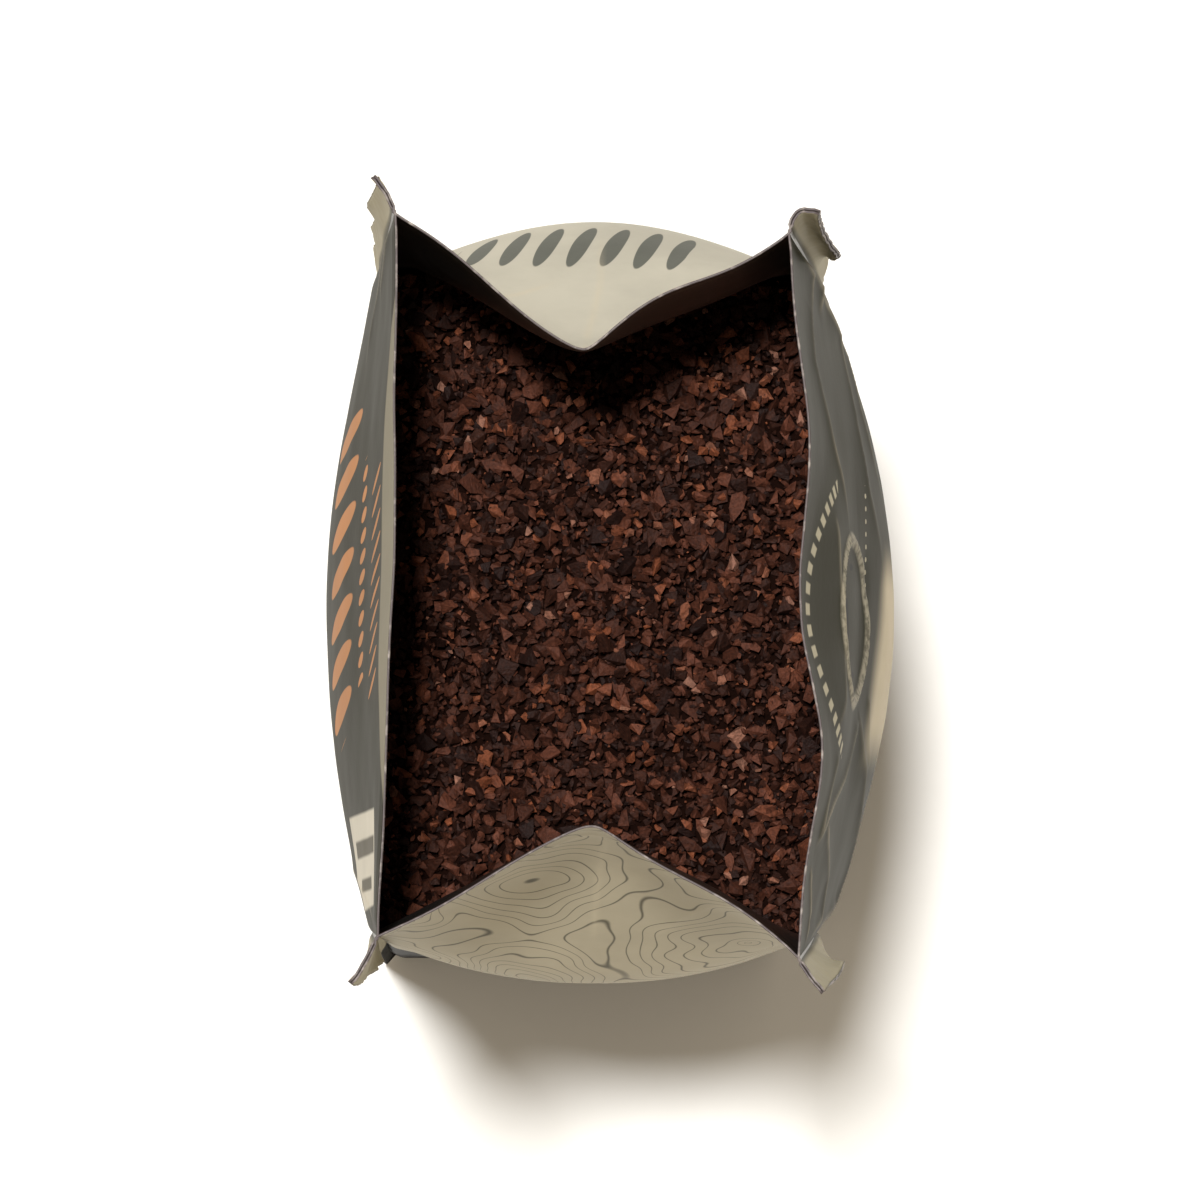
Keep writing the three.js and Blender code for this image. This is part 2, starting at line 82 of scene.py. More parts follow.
# Each fin's long wave, as its height, length and start, where it has come in, and the fine crinkle on it
FIN_WAVES = [(0.35, 19, 0.4), (0.3, 16, 2.0), (0.25, 23, 1.0), (0.45, 21, 3.4)]
FIN_WAVE_FADE = 20
FIN_CRINKLE = {"depth": 0.1, "stretch": 4, "size": 2.2}

# The sides between the corners: how far each bows out, and how round its bow is, at the rim, belly and base
LOWER, BACK, UPPER, FRONT = range(4)
BOWS = [(-13.6, 6.1, 0.5), (0.5, 9.2, 0.5), (-14.4, 7.8, 0.5), (-0.6, 5.9, 0.5)]
CREASES = [(0.06, 3, 3), (3, 3, 3), (0.06, 3, 3), (3, 3, 3)]
FLANK_SWAYS = {LOWER: [(0.17, 0.28), (-0.47, -0.57)], UPPER: [(1.15, -0.93), (0.18, 0.48)]}
SWAY_DEPTH = 30
RIM_WAVE = {"height": 1.9, "centre": 20, "width": 13, "depth": 34}

# The film's thickness, and how finely its sheets are made
FILM = 0.26
BASE_THICKNESS = 0.5
SHEET_COLUMNS = {LOWER: 150, BACK: 210, UPPER: 140, FRONT: 160}
COLUMN_CROWDING = 0.35
FIN_COLUMNS = 9
UPPER_ROWS = 150
LOWER_ROWS = 44
LOWER_ROW_POWER = 1.3

# How far past a panel's corner its fin reads the print, clear of every mark
FIN_PRINT_OFFSET = 5

# The one-way valve, in millimetres across the back panel and up it
VALVE = {"across": 2.3, "height": 143, "ring": 9.5, "width": 1.1, "rise": 0.4, "dish": 0.2}
PIN_HOLES = (-6.3, 6.3)
PIN_HOLE_RADIUS = 0.4
PIN_HOLE_STRETCH = 3.5
SLIT = (-0.3, 4.3, 146.6, 148.6)


def mix(a, b, t):
    return a + (b - a) * t


def smooth(t):
    t = np.clip(t, 0, 1)
    return t * t * (3 - 2 * t)


def ease(t):
    return np.sin(math.pi / 2 * np.clip(t, 0, 1)) ** EASE_POWER


def at_height(size, z, hold=1):
    """A size that is known at the rim, the belly and the base, at any height between."""
    rim, belly, base = size
    above = mix(rim, belly, ease((RIM_HEIGHT - z) / (RIM_HEIGHT - BELLY_HEIGHT)) ** hold)
    below = mix(base, belly, ease(z / BELLY_HEIGHT))
    return np.where(z >= BELLY_HEIGHT, above, below)


def corner_at(corner, z):
    return [at_height([place[axis] for place in CORNERS[corner]], z) for axis in (0, 1)]


def bow_shape(t, crease):
    """A bow across a panel, from 0 at both corners to 1 in the middle: a knife fold where crease is small."""
    top = np.hypot(1, crease)
    return (top - np.hypot(2 * t - 1, crease)) / (top - crease)


def flank_sway(side, t, z):
    """The waves of a tucked gusset's flanks, fading down from the rim."""
    if side not in FLANK_SWAYS:
        return 0
    first, last = FLANK_SWAYS[side]
    from_corner = 1 - np.abs(2 * t - 1)
    fade = smooth(1 - (RIM_HEIGHT - z) / SWAY_DEPTH)
    long_wave = np.where(t < 0.5, first[0], last[0]) * np.sin(math.pi * from_corner)
    short_wave = np.where(t < 0.5, first[1], last[1]) * np.sin(2 * math.pi * from_corner)
    return fade * (long_wave + short_wave)


def rim_wave(side, x, z):
    if side != BACK:
        return 0
    fade = smooth(1 - (RIM_HEIGHT - z) / RIM_WAVE["depth"])
    return RIM_WAVE["height"] * np.exp(-(((x - RIM_WAVE["centre"]) / RIM_WAVE["width"]) ** 2)) * fade


def base_tuck(z):
    """How far the rounded bottom edge has turned in at height z."""
    below = np.clip(BASE_EDGE_RADIUS - z, 0, BASE_EDGE_RADIUS)
    return BASE_EDGE_RADIUS - np.sqrt(BASE_EDGE_RADIUS**2 - below**2)


def side_point(side, t, z, inset=0.0):
    """The point of a side at the share t of its length, at height z, moved in by inset."""
    (ax, ay), (bx, by) = corner_at(side, z), corner_at((side + 1) % 4, z)
    length = np.hypot(bx - ax, by - ay)
    out = ((by - ay) / length, -(bx - ax) / length)
    radius = at_height(CORNER_RADIUS, z)
    skipped = radius * (1 - math.sqrt(0.5)) / length
    t = mix(skipped, 1 - skipped, t)
    x, y = mix(ax, bx, t), mix(ay, by, t)
    hold = TUCK_HOLD if side in FLANK_SWAYS else 1
    rise = at_height(BOWS[side], z, hold) * bow_shape(t, at_height(CREASES[side], z, hold))
    rise = rise + flank_sway(side, t, z) + rim_wave(side, x, z)
    near = np.minimum(np.minimum(t, 1 - t) * length, radius)
    rounded = radius - np.sqrt(np.maximum(radius**2 - (radius - near) ** 2, 0))
    pushed = rise - rounded - inset
    tuck = base_tuck(z)
    x, y = x + out[0] * pushed, y + out[1] * pushed
    return x * (1 - tuck / BASE_HALF[0]), y * (1 - tuck / BASE_HALF[1])


def seam_point(corner, z):
    """Where the two sides of a corner meet."""
    before = side_point((corner + 3) % 4, 1.0, z)
    after = side_point(corner, 0.0, z)
    return (before[0] + after[0]) / 2, (before[1] + after[1]) / 2


def fin_step(corner, key, z):
    """A fin's bend (key 0) or edge (key 1) at height z, measured from its seam."""
    upper = smooth((z - SHOULDER_HEIGHT) / (RIM_HEIGHT - SHOULDER_HEIGHT))
    lower = smooth((z - FIN_BODY_HEIGHT) / (SHOULDER_HEIGHT - FIN_BODY_HEIGHT))
    keep = smooth((z - FIN_TAPER[1]) / (FIN_TAPER[0] - FIN_TAPER[1]))
    base = np.array(CORNERS[corner][2])
    stub = base / np.linalg.norm(base) * FIN_STUB * (0.5 if key == 0 else 1)
    step = []
    for axis in (0, 1):
        rim, shoulder, body = (FINS[corner][level][key][axis] for level in ("rim", "shoulder", "body"))
        full = np.where(z > SHOULDER_HEIGHT, mix(shoulder, rim, upper), mix(body, shoulder, lower))
        step.append(mix(stub[axis], full, keep))
    return step


def fin_point(corner, share, z, half):
    """A point of a fin, at a share of the way from its seam to its edge, and half off its middle."""
    seam, bend, edge = seam_point(corner, z), fin_step(corner, 0, z), fin_step(corner, 1, z)
    at_bend, at_edge = 4 * share * (1 - share), share * (2 * share - 1)
    x, y = (at_bend * bend[axis] + at_edge * edge[axis] for axis in (0, 1))
    turn_bend, turn_edge = 4 - 8 * share, 4 * share - 1
    dx, dy = (turn_bend * bend[axis] + turn_edge * edge[axis] for axis in (0, 1))
    size = np.hypot(dx, dy)
    height, length, start = FIN_WAVES[corner]
    fade = smooth((z - FIN_TAPER[1]) / FIN_WAVE_FADE)
    wave = height * share * np.sin(2 * math.pi * z / length + start) * fade
    fine = ridges(share * FIN_CRINKLE["stretch"], z, 5 + corner, FIN_CRINKLE["size"])
    off = half + wave + FIN_CRINKLE["depth"] * share * fine
    return seam[0] + x + dy / size * off, seam[1] + y - dx / size * off


def ripples(x, z, seed, size):
    """Smooth, repeatable unevenness between about -1 and 1, with waves of about the given size."""
    random = np.random.default_rng(seed)
    total = 0
    for _ in range(7):
        angle, start = random.uniform(0, 2 * math.pi, 2)
        length = size * random.uniform(0.7, 1.6)
        total = total + np.sin(2 * math.pi * (x * math.cos(angle) + z * math.sin(angle)) / length + start)
    return total / 3.2


def unevenness(x, z, layers, first_seed=0):
    """Layers of ripples, each given by its height, its seed and its size."""
    return sum(height * ripples(x, z, seed + first_seed, size) for height, seed, size in layers)


def ridges(x, z, seed, size):
    """Sharp, repeatable creases: 1 on a crease, and falling away from it."""
    return 1 - 2 * np.abs(np.tanh(1.5 * ripples(x, z, seed, size)))


def distance_to_line(x, z, line):
    """How far each point lies from a bent line, and its share of the way along it."""
    best, share = np.full(np.shape(x), 1e9), np.zeros(np.shape(x))
    line = [np.array(place, float) for place in line]
    lengths = [np.linalg.norm(b - a) for a, b in zip(line, line[1:])]
    done = 0
    for (a, b), length in zip(zip(line, line[1:]), lengths):
        along = ((x - a[0]) * (b - a)[0] + (z - a[1]) * (b - a)[1]) / length**2
        along = np.clip(along, 0, 1)
        far = np.hypot(x - mix(a[0], b[0], along), z - mix(a[1], b[1], along))
        share = np.where(far < best, (done + along * length) / sum(lengths), share)
        best = np.minimum(best, far)
        done += length
    return best, share


# Creases in the film: points across and up the panel in mm, how far the crease stands out, and its width
PANEL_CREASES = {
    BACK: [
        ([(-40, 158), (-36, 138), (-32, 129), (-26, 132), (-19, 133), (-13, 131), (-8, 126), (-3, 123)],
         0.45, 1.7),
        ([(-39, 150), (-30, 122), (-23, 126), (-18, 124), (-12, 118)], 0.4, 1.6),
        ([(-40, 160), (-37.5, 150), (-32.6, 156), (-27, 159), (-21, 154), (-16, 151), (-11, 147), (-7, 144)],
         0.5, 1.5),
        ([(-40, 156), (-38, 143), (-35.5, 142), (-33, 146)], 0.35, 1.0),
        ([(-9, 154), (-1, 152.5), (6, 152.5), (12, 154), (16, 158)], 0.35, 2.2),
        ([(14, 137), (20.9, 146), (24.9, 156), (29, 163)], 0.5, 1.3),
        ([(18, 155), (23, 158), (28, 161)], 0.3, 1.0),
        ([(26, 154), (32, 142), (37, 139), (40.5, 152)], 0.4, 1.3),
        ([(13, 137), (17.5, 132), (20, 128), (24, 124), (28, 120), (32, 117), (36, 120), (40, 146)],
         0.55, 1.6),
        ([(11, 131), (16, 129), (20, 124)], 0.3, 1.2),
        ([(31, 164), (36, 157), (41, 158)], 0.3, 0.9),
        ([(26, 100), (33, 112), (38, 128)], 0.3, 1.6),
        ([(-34, 96), (-36, 112), (-39, 132)], 0.3, 1.6),
    ],
    FRONT: [
        ([(-41, 164), (-37, 152), (-32, 144), (-26, 139)], 0.35, 1.6),
        ([(-41, 166), (-36.5, 157), (-33, 151)], 0.25, 1.0),
        ([(39, 160), (35, 140), (32, 118), (31, 96)], 0.3, 1.8),
        ([(-39, 130), (-36, 110), (-30, 92)], 0.25, 1.8),
    ],
    LOWER: [
        ([(-24, 166), (-13.5, 153), (-4.7, 156), (1.6, 163), (5, 167)], 0.35, 0.9),
        ([(0, 168), (1.5, 156), (0.5, 140), (0, 124)], 0.25, 1.6),
        ([(24, 160), (14, 140), (6, 126)], 0.2, 2.0),
    ],
    UPPER: [
        ([(0, 167), (-0.5, 150), (0.5, 132), (0, 116)], 0.25, 1.8),
        ([(-23, 160), (-13, 144), (-4, 132)], 0.2, 2.2),
    ],
}

# The header strip along the front rim ends in a soft ridge, which is lowest at middle and curves up
HEADER = {"height": 162.5, "middle": -3, "curve": 0.0089, "ridge": 0.3, "fade": 16}

# The back panel's hollows: a roll inwards below the rim, two waves outwards at it and a dent by the valve
BACK_HOLLOWS = [
    {"across": 1, "height": 160, "wide": 8, "tall": 8, "depth": 0.7},
    {"across": -18, "height": 172, "wide": 12, "tall": 20, "depth": -1.8},
    {"across": 17, "height": 172, "wide": 9, "tall": 18, "depth": -0.8},
    {"across": -2.5, "height": 134, "wide": 3, "tall": 2, "depth": 0.35},
]

# The stiff valve holds the panel steeper than the film round it, out to these distances from its middle, but
# presses it in no further than its own flange allows
VALVE_HOLD = {"tilt": 0.08, "inwards": 0.45, "full": 11, "none": 24}

# How far from the line of a crease its print is paled, as worn film and as painted highlight along the fold
CREASE_LINE = 0.4

# The soft unevenness of the film, and the share of a side over which all its relief comes in from a seam
PANEL_WAVES = [(0.14, 30, 34), (0.03, 40, 9)]
SEAM_FADE = 0.03


def crease_relief(side, x, z):
    """How far the creases lift the film, and how sharply it is creased at each point."""
    lift, wear_and_highlight = np.zeros(np.shape(x)), np.zeros(np.shape(x))
    for line, height, width in PANEL_CREASES[side]:
        far, share = distance_to_line(x, z, line)
        fade = smooth(5 * (1 - share)) * smooth(8 * share + 0.4)
        lift = lift + height * np.exp(-far / width) * fade
        wear_and_highlight = np.maximum(wear_and_highlight, np.exp(-((far / CREASE_LINE) ** 2)) * fade)
    return lift, wear_and_highlight


def valve_relief(x, z):
    """The ring of the valve's weld, standing out of the back panel, and the shallow dish inside it."""
    far = np.hypot(x - VALVE["across"], z - VALVE["height"])
    ring = np.exp(-(((far - VALVE["ring"]) / (VALVE["width"] / 2)) ** 2))
    dish = 1 - smooth((far - VALVE["ring"] + 2) / 2)
    held = smooth((VALVE_HOLD["none"] - far) / (VALVE_HOLD["none"] - VALVE_HOLD["full"]))
    steeper = np.maximum(VALVE_HOLD["tilt"] * (z - VALVE["height"]), -VALVE_HOLD["inwards"])
    return VALVE["rise"] * ring - VALVE["dish"] * dish + steeper * held


def hollow(x, z, place):
    """A soft hollow, as deep as place says."""
    across, up = (x - place["across"]) / place["wide"], (z - place["height"]) / place["tall"]
    return -place["depth"] * np.exp(-(across**2) - up**2)


def header_ridge(x, z):
    """The ridge at the lower edge of the header strip: none at the rim, and fading down the panel."""
    edge = np.minimum(HEADER["height"] + HEADER["curve"] * (x - HEADER["middle"]) ** 2, RIM_HEIGHT - 2)
    above = np.clip((RIM_HEIGHT - z) / (RIM_HEIGHT - edge), 0, 1)
    below = np.exp(-np.maximum(edge - z, 0) / HEADER["fade"])
    return HEADER["ridge"] * above * below


def panel_relief(side, x, z, share):
    """All that lifts a side off its plain form: unevenness, creases, and its own weld, hollows or ridge."""
    inside = smooth(share / SEAM_FADE) * smooth((1 - share) / SEAM_FADE)
    lift, wear_and_highlight = crease_relief(side, x, z)
    lift = lift + unevenness(x, z, PANEL_WAVES, side) * smooth(z / 20)
    if side == BACK:
        lift = lift + valve_relief(x, z) + sum(hollow(x, z, place) for place in BACK_HOLLOWS)
    if side == FRONT:
        lift = lift + header_ridge(x, z)
    return lift * inside, wear_and_highlight * inside


def wall_heights():
    """Rows from the base to the rim, closer together where the film is folded and creased."""
    lower = np.linspace(0, 1, LOWER_ROWS, endpoint=False) ** LOWER_ROW_POWER * BELLY_HEIGHT
    upper = np.linspace(BELLY_HEIGHT, RIM_HEIGHT, UPPER_ROWS)
    return np.concatenate([lower, upper])


def column_shares(count):
    """Shares across a side, closer together at its corners and in its middle fold."""
    even = np.linspace(0, 1, count)
    return mix(even, (1 - np.cos(math.pi * even)) / 2, COLUMN_CROWDING)


def wall_grid(side):
    """The outside of one side with its half of the fin at each end: places, and what its finish needs."""
    z = wall_heights()[:, None]
    t = column_shares(SHEET_COLUMNS[side])[None, :]
    x, y = side_point(side, t, z)
    (ax, ay), (bx, by) = corner_at(side, z), corner_at((side + 1) % 4, z)
    length = np.hypot(bx - ax, by - ay)
    sign = -1 if side in (BACK, UPPER) else 1
    across = sign * (t - 0.5) * length
    tall = z + 0 * t
    lift, wear_and_highlight = panel_relief(side, across, tall, t + 0 * z)
    out_x, out_y = (by - ay) / length, -(bx - ax) / length
    x, y = x + out_x * lift, y + out_y * lift

    shares = np.linspace(1, 0, FIN_COLUMNS, endpoint=False)[None, :]
    start = fin_point(side, shares, z, -FIN_HALF)
    shares_back = shares[:, ::-1]
    end = fin_point((side + 1) % 4, shares_back, z, FIN_HALF)
    x = np.hstack([start[0], x, end[0]])
    y = np.hstack([start[1], y, end[1]])
    fin_across = sign * (length / 2 + FIN_PRINT_OFFSET)
    across = np.hstack([-fin_across + 0 * shares, across, fin_across + 0 * shares])
    fin = np.hstack([shares + 0 * z, 0 * tall, shares_back + 0 * z])
    wear_and_highlight = np.hstack([0 * fin[:, :FIN_COLUMNS], wear_and_highlight, 0 * fin[:, :FIN_COLUMNS]])
    tall = z + 0 * fin
    return np.stack([x, y, tall], -1), np.stack([across, tall, wear_and_highlight], -1), fin


def new_piece(name, places, faces, materials):
    """A mesh object from places in millimetres, made in metres at the origin."""
    mesh = bpy.data.meshes.new(name)
    mesh.from_pydata((np.asarray(places, float) * MM).tolist(), [], faces)
    mesh.update()
    piece = bpy.data.objects.new(name, mesh)
    bpy.context.scene.collection.objects.link(piece)
    for material in materials:
        mesh.materials.append(material)
    return piece


def grid_faces(rows, columns):
    first = (np.arange(rows - 1)[:, None] * columns + np.arange(columns - 1)[None, :]).ravel()
    return np.stack([first, first + 1, first + columns + 1, first + columns], -1).tolist()


def set_smooth(mesh):
    mesh.polygons.foreach_set("use_smooth", [True] * len(mesh.polygons))


def store(mesh, name, kind, values):
    attribute = mesh.attributes.new(name, kind, "POINT")
    field = "vector" if kind == "FLOAT_VECTOR" else "value"
    attribute.data.foreach_set(field, np.asarray(values, float).ravel())


def film_wall(name, side, materials):
    """One side of the bag as a sheet of film with an outer print, a dark inside and a cut edge."""
    places, print_mm, fin = wall_grid(side)
    rows, columns = fin.shape
    piece = new_piece(name, places.reshape(-1, 3), grid_faces(rows, columns), materials)
    store(piece.data, "print_mm", "FLOAT_VECTOR", print_mm)
    store(piece.data, "fin", "FLOAT", fin)
    set_smooth(piece.data)
    thickness = piece.modifiers.new("thickness", "SOLIDIFY")
    thickness.thickness = FILM * MM
    thickness.offset = -1
    thickness.use_even_offset = False
    thickness.material_offset = 1
    thickness.material_offset_rim = 2
    thickness.use_quality_normals = True
    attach(piece, "root")
    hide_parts("bag_film")
    return piece


def bag_outline(z, steps, inset):
    """The closed run of places round the bag at one height, side by side from the first corner."""
    t = np.linspace(0, 1, steps, endpoint=False)
    runs = [np.stack(side_point(side, t, np.full(steps, float(z)), inset), -1) for side in range(4)]
    run = np.concatenate(runs)
    return np.column_stack([run, np.full(len(run), float(z))])


def base_sheet(material):
    """The bag's flat base, closing the four sides at the resting face."""
    outline = bag_outline(0, 30, 0.0)
    count = len(outline)
    top = outline + np.array([0, 0, BASE_THICKNESS])
    places = np.concatenate([outline, top])
    sides = [[k, (k + 1) % count, count + (k + 1) % count, count + k] for k in range(count)]
    faces = [list(range(count))[::-1], list(range(count, 2 * count))] + sides
    piece = new_piece("bag_base", places, faces, [material])
    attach(piece, "root")
    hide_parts("bag_film")
    return piece


class Tree:
    """Adds nodes to a node tree and links their sockets."""

    def __init__(self, tree):
        self.tree = tree

    def add(self, kind, sockets=None, **settings):
        node = self.tree.nodes.new(kind)
        for key, value in settings.items():
            setattr(node, key, value)
        for key, value in (sockets or {}).items():
            if isinstance(value, bpy.types.NodeSocket):
                self.tree.links.new(value, node.inputs[key])
            else:
                node.inputs[key].default_value = value
        return node

    def math(self, operation, *values, clamp=False):
        node = self.add("ShaderNodeMath", dict(enumerate(values)), operation=operation, use_clamp=clamp)
        return node.outputs[0]

    def mix_colour(self, share, first, second, blend="MIX"):
        sockets = {0: share, 6: first, 7: second}
        return self.add("ShaderNodeMix", sockets, data_type="RGBA", blend_type=blend).outputs[2]

    def between(self, value, low, high, from_value=0.0, to_value=1.0):
        sockets = {"Value": value, "From Min": low, "From Max": high,
                   "To Min": from_value, "To Max": to_value}
        return self.add("ShaderNodeMapRange", sockets, interpolation_type="SMOOTHSTEP").outputs[0]

    def noise(self, scale, detail, roughness=0.5):
        """The outputs of noise on the piece's own coordinates."""
        place = self.add("ShaderNodeTexCoord").outputs["Object"]
        sockets = {"Vector": place, "Scale": scale, "Detail": detail, "Roughness": roughness}
        return self.add("ShaderNodeTexNoise", sockets).outputs

    def bump(self, height, strength, distance):
        sockets = {"Strength": strength, "Distance": distance, "Height": height}
        return self.add("ShaderNodeBump", sockets).outputs[0]

    def shaded(self, colour, mottle, darkest, lightest):
        """The colour, from darkest to lightest times as bright after the mottle."""
        shade = self.between(mottle, 0.3, 0.7, darkest, lightest)
        grey = self.add("ShaderNodeCombineColor", {0: shade, 1: shade, 2: shade}).outputs[0]
        return self.mix_colour(1.0, colour, grey, "MULTIPLY")

    def window(self, value, low, high, soft=0.25):
        """1 between low and high and 0 outside, with soft ends."""
        rise = self.between(value, low - soft, low + soft)
        fall = self.between(value, high + soft, high - soft)
        return self.math("MULTIPLY", rise, fall)

    def patch(self, across, height, box, soft=0.25):
        """1 inside a box of left, right, bottom and top, and 0 outside."""
        wide, tall = self.window(across, *box[:2], soft), self.window(height, *box[2:], soft)
        return self.math("MULTIPLY", wide, tall)

    def distance(self, across, height, centre, stretch=1.0):
        """How far each point lies from a centre, with heights counted for less where stretch is over 1."""
        up = self.math("DIVIDE", self.math("SUBTRACT", height, centre[1]), stretch)
        place = self.add("ShaderNodeCombineXYZ", {0: self.math("SUBTRACT", across, centre[0]), 1: up})
        return self.add("ShaderNodeVectorMath", {0: place.outputs[0]}, operation="LENGTH").outputs["Value"]


def srgb(red, green, blue):
    """A linear colour with full alpha, from the usual 0 to 255 values."""
    channels = [value / 255 for value in (red, green, blue)]
    linear = [c / 12.92 if c <= 0.04045 else ((c + 0.055) / 1.055) ** 2.4 for c in channels]
    return (*linear, 1.0)


def new_material(name):
    material = bpy.data.materials.new(name)
    material.use_nodes = True
    material.node_tree.nodes.clear()
    tree = Tree(material.node_tree)
    shader = tree.add("ShaderNodeBsdfPrincipled")
    output = tree.add("ShaderNodeOutputMaterial")
    material.node_tree.links.new(shader.outputs[0], output.inputs[0])
    return material, tree, shader


def connect(tree, value, shader, socket):
    tree.tree.links.new(value, shader.inputs[socket])


def new_group(name, inputs, outputs):
    """A shader node group with named inputs and outputs, its tree helper and its two end nodes."""
    group = bpy.data.node_groups.new(name, "ShaderNodeTree")
    for label, kind, value in inputs:
        socket = group.interface.new_socket(label, in_out="INPUT", socket_type=kind)
        if value is not None:
            socket.default_value = value
    for label, kind in outputs:
        group.interface.new_socket(label, in_out="OUTPUT", socket_type=kind)
    tree = Tree(group)
    start = tree.add("NodeGroupInput")
    finish = tree.add("NodeGroupOutput")
    return group, tree, start.outputs, finish


def film_skin_group():
    """The surface of a printed laminate: faint orange peel and scuffs, and a mottle for wear and dust."""
    number = "NodeSocketFloat"
    inputs = [("Roughness", number, 0.42), ("Peel", number, 0.1), ("Scuffs", number, 0.15)]
    outputs = [("Normal", "NodeSocketVector"), ("Roughness", number), ("Mottle", number)]
    group, tree, given, finish = new_group("film_skin", inputs, outputs)
    peel, crumple = tree.noise(900.0, 3.0)[0], tree.noise(120.0, 4.0)[0]
    height = tree.math("ADD", tree.math("MULTIPLY", peel, 0.4), crumple)
    mottle = tree.noise(45.0, 5.0, 0.6)[0]
    spread = tree.math("MULTIPLY", tree.math("SUBTRACT", mottle, 0.5), given["Scuffs"])
    tree.tree.links.new(tree.bump(height, given["Peel"], 0.0004), finish.inputs["Normal"])
    tree.tree.links.new(tree.math("ADD", given["Roughness"], spread), finish.inputs["Roughness"])
    tree.tree.links.new(mottle, finish.inputs["Mottle"])
    return group


def print_place(tree):
    """Millimetres across and up the panel, how creased the film is there, and how far out on a fin it is."""
    attribute = tree.add("ShaderNodeAttribute", attribute_name="print_mm")
    parts = tree.add("ShaderNodeSeparateXYZ", {0: attribute.outputs["Vector"]})
    fin = tree.add("ShaderNodeAttribute", attribute_name="fin")
    return (*parts.outputs, fin.outputs["Fac"])


def add_skin(tree, shader, group, roughness, peel, scuffs):
    skin = tree.add("ShaderNodeGroup", node_tree=group)
    skin.inputs["Roughness"].default_value = roughness
    skin.inputs["Peel"].default_value = peel
    skin.inputs["Scuffs"].default_value = scuffs
    connect(tree, skin.outputs["Normal"], shader, "Normal")
    connect(tree, skin.outputs["Roughness"], shader, "Roughness")
    return skin.outputs["Mottle"]


def row_of_marks_group():
    """A row of slanted, rounded marks: 1 on a mark and 0 beside it."""
    sizes = {"Across": 0.0, "Height": 0.0, "Row height": 140.0, "Left": -20.0, "Right": 20.0, "Pitch": 4.0,
             "Half width": 1.0, "Half height": 3.0, "Slant": 0.3, "Power": 2.0}
    inputs = [(label, "NodeSocketFloat", value) for label, value in sizes.items()]
    group, tree, given, finish = new_group("row_of_marks", inputs, [("Mask", "NodeSocketFloat")])
    up = tree.math("SUBTRACT", given["Height"], given["Row height"])
    across = tree.math("ADD", given["Across"], tree.math("MULTIPLY", up, given["Slant"]))
    turn = tree.math("DIVIDE", across, given["Pitch"])
    cell = tree.math("MULTIPLY", tree.math("SUBTRACT", tree.math("FRACT", turn), 0.5), given["Pitch"])

    def share(value, half):
        size = tree.math("ABSOLUTE", tree.math("DIVIDE", value, half))
        return tree.math("POWER", size, given["Power"])

    wide, tall = share(cell, given["Half width"]), share(up, given["Half height"])
    inside = tree.between(tree.math("ADD", wide, tall), 1.08, 0.92)
    after = tree.math("GREATER_THAN", across, given["Left"])
    before = tree.math("LESS_THAN", across, given["Right"])
    mask = tree.math("MULTIPLY", inside, tree.math("MULTIPLY", after, before))
    tree.tree.links.new(mask, finish.inputs["Mask"])
    return group


def marks(tree, group, across, height, values):
    """The mask of one row of marks, made with the values of its row."""
    node = tree.add("ShaderNodeGroup", node_tree=group)
    tree.tree.links.new(across, node.inputs["Across"])
    tree.tree.links.new(height, node.inputs["Height"])
    for label, value in values.items():
        node.inputs[label.replace("_", " ").capitalize()].default_value = value
    return node.outputs["Mask"]


STONE = srgb(167, 164, 152)
# The gussets' one stone film, painted darker on the lower gusset as the shade of its side turned from the key
# light
SHADED_STONE = srgb(151, 144, 125)
LABEL_PALE = srgb(188, 184, 172)
PANEL_INK = srgb(42, 41, 31)
# Painted shade: the film is painted near black below FOOT_HEIGHT, at the foot of the bag
PAINTED_FOOT_SHADE = srgb(18, 19, 18)
HEADER_INK = srgb(122, 117, 102)
BEIGE = srgb(176, 166, 144)
FIN_BEIGE = srgb(146, 140, 120)
WELD_INK = srgb(138, 133, 118)
PALE_INK = srgb(158, 152, 132)
COPPER = srgb(168, 116, 72)
GREY_INK = srgb(84, 86, 80)
DARK_LINE = srgb(82, 78, 66)
HOLE_SHADE = srgb(16, 16, 15)

# A matte laminate mirrors little of the pale floor, even seen along its surface
FILM_SPECULAR = 0.04
FOOT_HEIGHT = 46

# Prints, in millimetres across a panel and up it: boxes are left, right, bottom and top
FRONT_LABEL = (26, 37, 128, 161)
LABEL_BARS = [(29, 31, 133, 160), (33.5, 35, 138, 155)]
BEIGE_FIELD = {"left": -5, "right": 17, "height": 124.5, "slope": 0.36, "soft": 3.5}
ARC = {"stretch": 1.3, "inner": 16.1, "outer": 17.5, "dashes": 9.0, "from_height": 152}
ARC_DASH = (0.2, 0.75, 0.06)
WELD_HALF = 0.8
INSIDE_LINE_HEIGHT = 167

# Rows of marks: where each stands and its marks' half sizes, then their pitch and slant, and the row's ends
FRONT_ROWS = [
    {"row_height": 132.5, "half_width": 1.5, "half_height": 9.5,
     "pitch": 5.4, "slant": 0.22, "left": -20.5, "right": 17.5},
    {"row_height": 158.5, "half_width": 0.4, "half_height": 3.2,
     "pitch": 2.6, "slant": 0.5, "left": -13.5, "right": 13.7},
    {"row_height": 148.5, "half_width": 0.7, "half_height": 1.8,
     "pitch": 2.4, "slant": 0.3, "left": -15.0, "right": 11.0},
]
BACK_DOTS = {"row_height": 133.0, "half_width": 0.3, "half_height": 0.35,
             "pitch": 1.5, "slant": 0.0, "left": -14.0, "right": 4.0}
UPPER_STROKES = {"row_height": 122.0, "half_width": 1.1, "half_height": 7.0,
                 "pitch": 4.0, "slant": 0.2, "left": -17.0, "right": 11.0}

# The contour lines: hills to the metre, their squash and bend, how many lines ring one, and a line's width
HILLS_A_METRE = 50.0
HILL_SQUASH = (1.0, 1.0, 0.5)
HILL_BEND = (0.012, 0.012, 0.012)
CONTOURS = 17.0
CONTOUR_LINE = (0.46, 0.54, 0.04)


